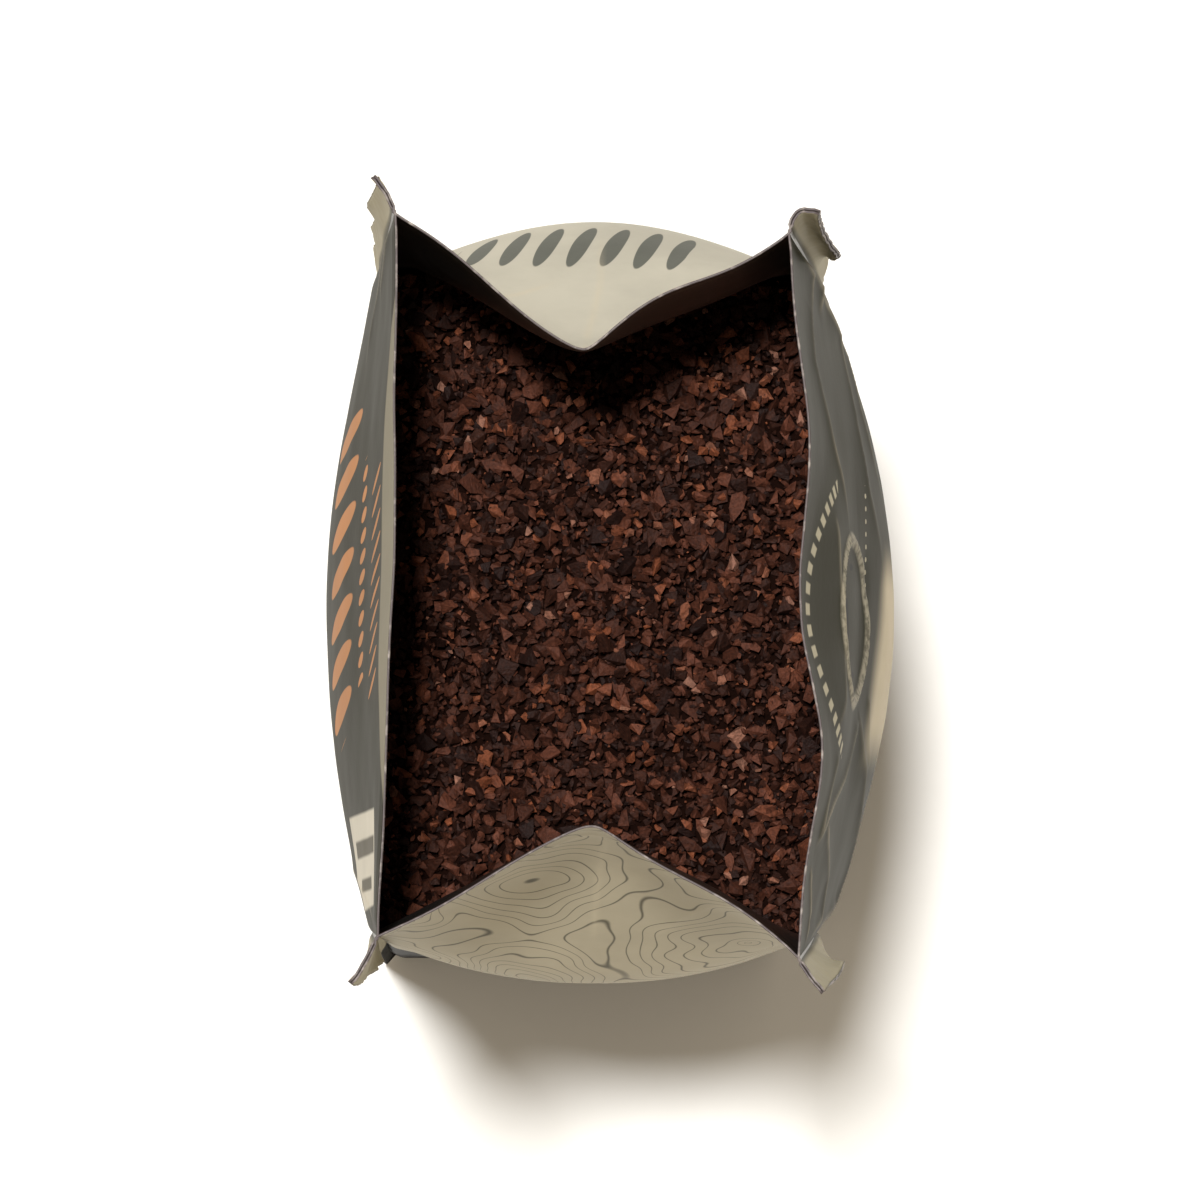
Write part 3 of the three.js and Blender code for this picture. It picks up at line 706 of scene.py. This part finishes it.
def film_finish(tree, shader, skin, colour, height, creased, fin):
    """What all printed sides share: a foot painted near black as shade, pale creases that are partly worn
    film and partly painted highlight, beige fins and the skin of the film.
    """
    mottle = add_skin(tree, shader, skin, roughness=0.5, peel=0.12, scuffs=0.16)
    # Creases are paled towards beige: partly worn film, partly painted highlight along the folds
    crease_wear_and_highlight = tree.math("MULTIPLY", creased, tree.between(mottle, 0.35, 0.65, 0.05, 0.35))
    colour = tree.mix_colour(crease_wear_and_highlight, colour, BEIGE)
    colour = tree.mix_colour(tree.between(fin, 0.02, 0.2), colour, FIN_BEIGE)
    colour = tree.mix_colour(tree.between(fin, 0.95, 1.0), colour, DARK_LINE)
    # Below FOOT_HEIGHT the film is painted near black, as painted shade at the foot of the bag
    foot_shade = tree.between(height, FOOT_HEIGHT + 0.5, FOOT_HEIGHT - 0.5)
    colour = tree.mix_colour(foot_shade, colour, PAINTED_FOOT_SHADE)
    connect(tree, tree.shaded(colour, mottle, 0.9, 1.08), shader, "Base Color")
    shader.inputs["Specular IOR Level"].default_value = FILM_SPECULAR


def front_material(skin, row):
    """Dark ink with a pale header, rows of copper strokes and a pale label with dark bars."""
    material, tree, shader = new_material("front_print")
    across, height, creased, fin = print_place(tree)
    off = tree.math("SUBTRACT", across, HEADER["middle"])
    curve = tree.math("MULTIPLY", tree.math("MULTIPLY", off, off), HEADER["curve"])
    above = tree.math("SUBTRACT", tree.math("SUBTRACT", height, HEADER["height"]), curve)
    colour = tree.mix_colour(tree.between(above, -0.2, 0.6), PANEL_INK, HEADER_INK)
    for values in FRONT_ROWS:
        colour = tree.mix_colour(marks(tree, row, across, height, values), colour, COPPER)
    colour = tree.mix_colour(tree.patch(across, height, FRONT_LABEL), colour, LABEL_PALE)
    for bar in LABEL_BARS:
        colour = tree.mix_colour(tree.patch(across, height, bar), colour, DARK_LINE)
    film_finish(tree, shader, skin, colour, height, creased, fin)
    return material


def back_material(skin, row):
    """Dark ink with a beige field, an arc of dashes, small dots, the valve's weld, and its holes and slit
    painted near black as the shade inside them.
    """
    material, tree, shader = new_material("back_print")
    across, height, creased, fin = print_place(tree)
    rise = tree.math("MULTIPLY", across, BEIGE_FIELD["slope"])
    over = tree.math("SUBTRACT", tree.math("SUBTRACT", height, BEIGE_FIELD["height"]), rise)
    soft = BEIGE_FIELD["soft"]
    sides = tree.window(across, BEIGE_FIELD["left"], BEIGE_FIELD["right"], soft)
    field = tree.math("MULTIPLY", tree.between(over, soft, -soft), sides)
    colour = tree.mix_colour(field, PANEL_INK, BEIGE)
    colour = tree.mix_colour(marks(tree, row, across, height, BACK_DOTS), colour, PALE_INK)

    centre = (VALVE["across"], VALVE["height"])
    bend = tree.distance(across, height, centre, ARC["stretch"])
    up, aside = tree.math("SUBTRACT", height, centre[1]), tree.math("SUBTRACT", across, centre[0])
    turn = tree.math("MULTIPLY", tree.math("ARCTAN2", up, aside), ARC["dashes"])
    dash = tree.window(tree.math("FRACT", turn), *ARC_DASH)
    arc = tree.math("MULTIPLY", dash, tree.window(bend, ARC["inner"], ARC["outer"], 0.15))
    arc = tree.math("MULTIPLY", arc, tree.math("GREATER_THAN", height, ARC["from_height"]))
    colour = tree.mix_colour(arc, colour, PALE_INK)

    reach = tree.distance(across, height, centre)
    ring = tree.window(reach, VALVE["ring"] - WELD_HALF, VALVE["ring"] + WELD_HALF, 0.35)
    rubbed = tree.between(tree.noise(1100.0, 3.0)[0], 0.34, 0.6, 0.35, 1.0)
    colour = tree.mix_colour(tree.math("MULTIPLY", ring, rubbed), colour, WELD_INK)
    # The pin holes and the slit are painted near black, as painted shade inside them
    for step in PIN_HOLES:
        hole = tree.distance(across, height, (centre[0] + step, centre[1]), PIN_HOLE_STRETCH)
        inside = tree.between(hole, PIN_HOLE_RADIUS + 0.1, PIN_HOLE_RADIUS - 0.1)
        colour = tree.mix_colour(inside, colour, HOLE_SHADE)
    colour = tree.mix_colour(tree.patch(across, height, SLIT, 0.12), colour, HOLE_SHADE)
    film_finish(tree, shader, skin, colour, height, creased, fin)
    return material


def upper_gusset_material(skin, row):
    """Plain stone with one row of slanted grey strokes."""
    material, tree, shader = new_material("upper_gusset_print")
    across, height, creased, fin = print_place(tree)
    colour = tree.mix_colour(marks(tree, row, across, height, UPPER_STROKES), STONE, GREY_INK)
    film_finish(tree, shader, skin, colour, height, creased, fin)
    return material


def lower_gusset_material(skin):
    """Stone painted darker as shade, with thin contour lines, nested round the tops of unseen hills."""
    material, tree, shader = new_material("lower_gusset_print")
    _, height, creased, fin = print_place(tree)
    place = tree.add("ShaderNodeTexCoord").outputs["Object"]
    flat = tree.add("ShaderNodeVectorMath", {0: place, 1: HILL_SQUASH}, operation="MULTIPLY").outputs[0]
    sockets = {0: tree.noise(70.0, 1.0)[1], 1: HILL_BEND, 2: flat}
    bent = tree.add("ShaderNodeVectorMath", sockets, operation="MULTIPLY_ADD").outputs[0]
    sockets = {"Vector": bent, "Scale": HILLS_A_METRE, "Smoothness": 0.5}
    hills = tree.add("ShaderNodeTexVoronoi", sockets, feature="SMOOTH_F1")
    step = tree.math("FRACT", tree.math("MULTIPLY", hills.outputs["Distance"], CONTOURS))
    colour = tree.mix_colour(tree.window(step, *CONTOUR_LINE), SHADED_STONE, DARK_LINE)
    film_finish(tree, shader, skin, colour, height, creased, fin)
    return material


def inside_material(skin):
    """The dark inner ply, with the fine line that runs along below the rim."""
    material, tree, shader = new_material("film_inside")
    height = print_place(tree)[1]
    add_skin(tree, shader, skin, roughness=0.36, peel=0.1, scuffs=0.2)
    line = tree.window(height, INSIDE_LINE_HEIGHT - 0.15, INSIDE_LINE_HEIGHT + 0.15, 0.1)
    connect(tree, tree.mix_colour(line, srgb(38, 34, 31), srgb(92, 84, 78)), shader, "Base Color")
    return material


def edge_material():
    """The cut edge of the laminate: purple-grey, with pale flecks."""
    material, tree, shader = new_material("film_edge")
    share = tree.between(tree.noise(700.0, 3.0)[0], 0.48, 0.74)
    connect(tree, tree.mix_colour(share, srgb(82, 73, 73), srgb(150, 141, 134)), shader, "Base Color")
    shader.inputs["Roughness"].default_value = 0.5
    return material


def make_bag():
    skin, row = film_skin_group(), row_of_marks_group()
    inside, edge = inside_material(skin), edge_material()
    film_wall("front_panel", FRONT, [front_material(skin, row), inside, edge])
    film_wall("back_panel", BACK, [back_material(skin, row), inside, edge])
    film_wall("upper_gusset", UPPER, [upper_gusset_material(skin, row), inside, edge])
    film_wall("lower_gusset", LOWER, [lower_gusset_material(skin), inside, edge])
    base_sheet(inside)


# The heap of coffee: a core under its uneven top, and the loose grains on it
HEAP_STEPS = (70, 50)
HEAP_HALF = (46, 34)
HEAP_SWELL = 1.4
HEAP_UNEVEN = 0.45
HEAP_WAVE = (20, 17, 1.5)
CORE_LEVELS = [1.2, 4, 12, 30, 55, 80, 105, 120]
CORE_ROUGH = [(0.25, 3, 4), (0.2, 4, 2)]
CORE_SINK = 0.7
CORE_INSET = 0.7
CORE_SIDE_INSET = 2.2
HEAP_EDGE_HEIGHT = 127.5


def heap_height(x, y):
    swell = HEAP_SWELL * (1 - (x / HEAP_HALF[0]) ** 2) * (1 - (y / HEAP_HALF[1]) ** 2)
    long, wide, bend = HEAP_WAVE
    along, across = 2 * math.pi * x / long, 2 * math.pi * y / wide
    waves = np.sin(along + bend * np.sin(0.7 * across)) + np.sin(across + bend * np.sin(0.7 * along))
    return COFFEE_HEIGHT + swell + HEAP_UNEVEN * waves


def heap_grid(inset=CORE_INSET):
    """A grid that fills the inside of the bag at the coffee's level, from its four sides."""
    along, across = HEAP_STEPS
    u, v = np.linspace(0, 1, along + 1), np.linspace(0, 1, across + 1)

    def edge(side, t):
        return np.stack(side_point(side, t, np.full(len(t), HEAP_EDGE_HEIGHT), inset), -1)

    front, back = edge(FRONT, u)[None], edge(BACK, 1 - u)[None]
    right, left = edge(LOWER, v)[:, None], edge(UPPER, 1 - v)[:, None]
    us, vs = u[None, :, None], v[:, None, None]
    ends = mix(front[:, :1], front[:, -1:], us)
    far_ends = mix(back[:, :1], back[:, -1:], us)
    return mix(front, back, vs) + mix(left, right, us) - mix(ends, far_ends, vs)


def coffee_core(material):
    """The solid body of the coffee, out to its uneven top and down to the floor of the bag."""
    grid = heap_grid()
    rows, columns = grid.shape[:2]
    x, y = grid[..., 0], grid[..., 1]
    height = heap_height(x, y) - CORE_SINK + unevenness(x, y, CORE_ROUGH)
    top = np.stack([x, y, height], -1).reshape(-1, 3)
    index = np.arange(rows * columns).reshape(rows, columns)
    rim = np.concatenate([index[0, :-1], index[:-1, -1], index[-1, :0:-1], index[:0:-1, 0]])
    places, faces = [top], grid_faces(rows, columns)
    above = rim
    for level in CORE_LEVELS[::-1]:
        ring = top[rim].copy()
        ring[:, :2] *= outline_reach(ring[:, :2], level)[:, None]
        ring[:, 2] = level
        start = sum(len(part) for part in places)
        below = np.arange(start, start + len(rim))
        places.append(ring)
        following = np.roll(above, -1), np.roll(below, -1)
        faces += np.stack([below, following[1], following[0], above], -1).tolist()
        above = below
    faces.append(above[::-1].tolist())
    piece = new_piece("coffee_core", np.concatenate(places), faces, [material])
    set_smooth(piece.data)
    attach(piece, "root")
    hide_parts("ground_coffee")
    return piece


def inside_reach(turn, z, inset):
    """How far the bag's inside reaches from the middle at height z, in the direction of each turn."""
    run = bag_outline(z, 60, inset)[:, :2]
    angle = np.arctan2(run[:, 1], run[:, 0])
    order = np.argsort(angle)
    far = np.hypot(run[:, 0], run[:, 1])
    return np.interp(turn, angle[order], far[order], period=2 * math.pi)


def outline_reach(points, level):
    """How far the core's side at a level reaches, as a share of its reach at the coffee's level."""
    turn = np.arctan2(points[:, 1], points[:, 0])
    return inside_reach(turn, level, CORE_SIDE_INSET) / inside_reach(turn, HEAP_EDGE_HEIGHT, CORE_INSET)


def keep_inside(mesh):
    """Presses grains that would reach through the film back against its inside."""
    flat = np.empty(3 * len(mesh.vertices))
    mesh.vertices.foreach_get("co", flat)
    places = flat.reshape(-1, 3)
    turn = np.arctan2(places[:, 1], places[:, 0])
    far = np.maximum(np.hypot(places[:, 0], places[:, 1]), 1e-9)
    limit = inside_reach(turn, GRAIN_TOP_HEIGHT, GRAIN_CLEARANCE) * MM
    places[:, :2] *= np.minimum(1, limit / far)[:, None]
    mesh.vertices.foreach_set("co", places.ravel())
    mesh.update()


# Half the reach of a chip's points along its three axes, before it is given its size
CHIP_HALF = (0.58, 0.5, 0.42)


def chip_tree(name, variants, points_per_chip):
    """Scatters angular chips over a surface, each the hull of a few random points, at its own angle."""
    group = bpy.data.node_groups.new(name, "GeometryNodeTree")
    interface = group.interface
    interface.new_socket("Geometry", in_out="INPUT", socket_type="NodeSocketGeometry")
    for label in ("Spacing", "Smallest", "Largest", "Sunk", "Raised", "Tilt"):
        interface.new_socket(label, in_out="INPUT", socket_type="NodeSocketFloat")
    interface.new_socket("Seed", in_out="INPUT", socket_type="NodeSocketInt")
    interface.new_socket("Material", in_out="INPUT", socket_type="NodeSocketMaterial")
    interface.new_socket("Geometry", in_out="OUTPUT", socket_type="NodeSocketGeometry")
    tree = Tree(group)
    given = tree.add("NodeGroupInput").outputs
    finish = tree.add("NodeGroupOutput")

    def random(kind, low, high, seed):
        sockets = {"Min": low, "Max": high, "Seed": seed}
        node = tree.add("FunctionNodeRandomValue", data_type=kind)
        live = [socket for socket in node.inputs if socket.enabled]
        for socket in live:
            if socket.name in sockets:
                value = sockets[socket.name]
                if isinstance(value, bpy.types.NodeSocket):
                    group.links.new(value, socket)
                else:
                    socket.default_value = value
        return next(socket for socket in node.outputs if socket.enabled)

    places = tree.add(
        "GeometryNodeDistributePointsOnFaces",
        {"Mesh": given["Geometry"], "Distance Min": given["Spacing"], "Density Max": 4e6,
         "Seed": given["Seed"]},
        distribute_method="POISSON",
    )
    height = random("FLOAT", given["Sunk"], given["Raised"], tree.math("ADD", given["Seed"], 1))
    offset = tree.add("ShaderNodeCombineXYZ", {2: height})
    lifted = tree.add("GeometryNodeSetPosition", {"Geometry": places.outputs[0], "Offset": offset.outputs[0]})

    chips = tree.add("GeometryNodeJoinGeometry")
    lowest = tuple(-half for half in CHIP_HALF)
    for k in range(variants):
        spot = random("FLOAT_VECTOR", lowest, CHIP_HALF, 100 + k)
        cloud = tree.add("GeometryNodePoints", {"Count": points_per_chip, "Position": spot})
        hull = tree.add("GeometryNodeConvexHull", {0: cloud.outputs[0]})
        chip = tree.add("GeometryNodeGeometryToInstance", {0: hull.outputs[0]})
        group.links.new(chip.outputs[0], chips.inputs[0])

    seed = [tree.math("ADD", given["Seed"], float(k)) for k in (2, 3, 4, 5)]
    lean = tree.math("MULTIPLY", given["Tilt"], -1.0)
    turn_x = random("FLOAT", lean, given["Tilt"], seed[0])
    turn_y = random("FLOAT", lean, given["Tilt"], seed[1])
    turn_z = random("FLOAT", 0.0, 2 * math.pi, seed[2])
    turn = tree.add("ShaderNodeCombineXYZ", {0: turn_x, 1: turn_y, 2: turn_z})
    chance = tree.math("POWER", random("FLOAT", 0.0, 1.0, seed[3]), 2.0)
    sockets = {"Value": chance, "To Min": given["Smallest"], "To Max": given["Largest"]}
    size = tree.add("ShaderNodeMapRange", sockets)
    pick = random("INT", 0, variants - 1, 7)
    scattered = tree.add(
        "GeometryNodeInstanceOnPoints",
        {"Points": lifted.outputs[0], "Instance": chips.outputs[0], "Pick Instance": True,
         "Instance Index": pick, "Rotation": turn.outputs[0], "Scale": size.outputs[0]},
    )
    tone = random("FLOAT", 0.0, 1.0, 11)
    toned = tree.add(
        "GeometryNodeStoreNamedAttribute",
        {"Geometry": scattered.outputs[0], "Name": "tone", "Value": tone},
        data_type="FLOAT", domain="INSTANCE",
    )
    real = tree.add("GeometryNodeRealizeInstances", {0: toned.outputs[0]})
    sockets = {"Geometry": real.outputs[0], "Material": given["Material"]}
    dressed = tree.add("GeometryNodeSetMaterial", sockets)
    group.links.new(dressed.outputs[0], finish.inputs[0])
    return group


GRAIN_KINDS = [
    {"name": "medium_grains", "Spacing": 0.95, "Smallest": 1.1, "Largest": 2.2, "Sunk": -0.7, "Raised": 0.7,
     "Tilt": 3.1, "Seed": 10},
    {"name": "coarse_grains", "Spacing": 1.75, "Smallest": 1.3, "Largest": 2.9, "Sunk": -0.4, "Raised": 1.0,
     "Tilt": 3.1, "Seed": 20},
    {"name": "fine_grains", "Spacing": 0.62, "Smallest": 0.35, "Largest": 1.0, "Sunk": -0.4, "Raised": 0.9,
     "Tilt": 3.1, "Seed": 30},
]
GRAIN_REACH = 0.3
GRAIN_TOP_HEIGHT = 129.5
GRAIN_CLEARANCE = 0.6
LENGTHS = ("Spacing", "Smallest", "Largest", "Sunk", "Raised")


def heap_top(inset):
    """The heap's top as a bare surface to scatter grains on."""
    grid = heap_grid(inset)
    rows, columns = grid.shape[:2]
    x, y = grid[..., 0], grid[..., 1]
    places = np.stack([x, y, heap_height(x, y)], -1).reshape(-1, 3)
    return new_piece("heap_top", places, grid_faces(rows, columns), [])


def scatter(tree_group, kind, material):
    """Grains of one kind over the heap, as one plain mesh."""
    carrier = heap_top(CORE_INSET + kind["Largest"] * GRAIN_REACH)
    carrier.name = kind["name"] + "_carrier"
    modifier = carrier.modifiers.new("grains", "NODES")
    modifier.node_group = tree_group
    for item in tree_group.interface.items_tree:
        if item.in_out != "INPUT" or item.name == "Geometry":
            continue
        if item.name == "Material":
            modifier[item.identifier] = material
        elif item.name in LENGTHS:
            modifier[item.identifier] = kind[item.name] * MM
        else:
            modifier[item.identifier] = kind[item.name]
    bpy.context.view_layer.update()
    ready = carrier.evaluated_get(bpy.context.evaluated_depsgraph_get())
    mesh = bpy.data.meshes.new_from_object(ready)
    mesh.name = kind["name"]
    keep_inside(mesh)
    bpy.data.objects.remove(carrier)
    piece = bpy.data.objects.new(kind["name"], mesh)
    bpy.context.scene.collection.objects.link(piece)
    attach(piece, "root")
    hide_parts("ground_coffee")
    return piece


# The tones of roasted grains, from the darkest to the few pale and orange ones
GRAIN_TONES = [
    (0.0, srgb(30, 13, 8)),
    (0.35, srgb(50, 25, 15)),
    (0.7, srgb(72, 38, 25)),
    (0.9, srgb(96, 54, 38)),
    (0.97, srgb(124, 68, 42)),
    (1.0, srgb(142, 100, 82)),
]


def coffee_material():
    """Roasted coffee: every grain has its own tone, from near black to a few orange ones."""
    material, tree, shader = new_material("coffee_grains")
    tone = tree.add("ShaderNodeAttribute", attribute_name="tone").outputs["Fac"]
    ramp = tree.add("ShaderNodeValToRGB", {0: tone})
    elements = ramp.color_ramp.elements
    elements[0].position, elements[0].color = GRAIN_TONES[0]
    elements[1].position, elements[1].color = GRAIN_TONES[-1]
    for position, colour in GRAIN_TONES[1:-1]:
        elements.new(position).color = colour
    grit = tree.noise(2200.0, 4.0, 0.65)[0]
    connect(tree, tree.shaded(ramp.outputs[0], grit, 0.65, 1.3), shader, "Base Color")
    connect(tree, tree.bump(grit, 0.8, 0.0004), shader, "Normal")
    shader.inputs["Roughness"].default_value = 0.6
    shader.inputs["Specular IOR Level"].default_value = 0.22
    return material


def core_material():
    """The coffee dust between the grains, painted nearly black as the shade deep in the gaps."""
    material, tree, shader = new_material("coffee_core_dust_and_gap_shade")
    grit = tree.noise(1500.0, 5.0, 0.7)[0]
    # Near black: the dust's own dark brown, deepened as painted shade in the gaps between grains
    connect(tree, tree.mix_colour(grit, srgb(8, 4, 3), srgb(34, 17, 11)), shader, "Base Color")
    connect(tree, tree.bump(grit, 0.9, 0.0005), shader, "Normal")
    shader.inputs["Roughness"].default_value = 0.9
    shader.inputs["Specular IOR Level"].default_value = 0.03
    return material


def make_coffee():
    coffee_core(core_material())
    tree_group = chip_tree("scatter_chips", variants=14, points_per_chip=11)
    material = coffee_material()
    for kind in GRAIN_KINDS:
        scatter(tree_group, kind, material)


def valve_finish():
    """Smooth moulded plastic on the valve behind the back panel."""
    material, tree, shader = new_material("valve_plastic")
    moulding = tree.noise(700.0, 2.0)[0]
    connect(tree, tree.bump(moulding, 0.1, 0.0002), shader, "Normal")
    colour = tree.mix_colour(moulding, srgb(84, 82, 76), srgb(96, 94, 86))
    connect(tree, colour, shader, "Base Color")
    shader.inputs["Roughness"].default_value = 0.35
    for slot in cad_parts["valve"].material_slots:
        slot.material = material


# The photograph's camera: straight above the mouth, a long way up, with -X at the top of the frame
CAMERA_PLACE = (35.5, 0, 1070)
CAMERA_TARGET = (1.8, 1.1, 170)
FOCAL_LENGTH = 240.3
FLOOR_SIZE = 3.0
FLOOR_COLOURS = [(0.88, 0.865, 0.83, 1), (0.90, 0.885, 0.85, 1)]


def make_camera():
    data = bpy.data.cameras.new("camera")
    data.lens = FOCAL_LENGTH
    data.sensor_width = 36
    camera = bpy.data.objects.new("camera", data)
    bpy.context.scene.collection.objects.link(camera)
    place, target = Vector(CAMERA_PLACE) * MM, Vector(CAMERA_TARGET) * MM
    forward = (target - place).normalized()
    right = forward.cross(Vector((-1, 0, 0))).normalized()
    up = right.cross(forward)
    turn = Matrix((right, up, -forward)).transposed()
    camera.matrix_world = Matrix.Translation(place) @ turn.to_4x4()
    bpy.context.scene.camera = camera


def make_floor():
    material, tree, shader = new_material("floor_paper")
    colour = tree.mix_colour(tree.noise(300.0, 2.0)[0], *FLOOR_COLOURS)
    connect(tree, colour, shader, "Base Color")
    shader.inputs["Roughness"].default_value = 0.9
    half = FLOOR_SIZE / 2 / MM
    corners = [(-half, -half, 0), (half, -half, 0), (half, half, 0), (-half, half, 0)]
    floor = new_piece("floor", corners, [[0, 1, 2, 3]], [material])


KEY_DIRECTION = (-0.157, -0.081, 1)
KEY_STRENGTH = 4.1
KEY_ANGLE = 7
HORIZON_LIGHT = (0.98, 0.84, 0.63, 1)
ZENITH_LIGHT = (0.17, 0.15, 0.13, 1)


def make_light():
    data = bpy.data.lights.new("key", "SUN")
    data.energy = KEY_STRENGTH
    data.angle = math.radians(KEY_ANGLE)
    key = bpy.data.objects.new("key", data)
    bpy.context.scene.collection.objects.link(key)
    key.rotation_euler = Vector(KEY_DIRECTION).to_track_quat("Z", "Y").to_euler()
    world = bpy.data.worlds.new("studio")
    world.use_nodes = True
    tree = Tree(world.node_tree)
    direction = tree.add("ShaderNodeTexCoord").outputs["Generated"]
    height = tree.add("ShaderNodeSeparateXYZ", {0: direction}).outputs[2]
    light = tree.mix_colour(tree.between(height, 0.15, 0.85), HORIZON_LIGHT, ZENITH_LIGHT)
    world.node_tree.links.new(light, world.node_tree.nodes["Background"].inputs[0])
    bpy.context.scene.world = world
    bpy.context.scene.view_settings.view_transform = "Standard"


make_camera()
make_light()
make_floor()
make_bag()
make_coffee()
valve_finish()
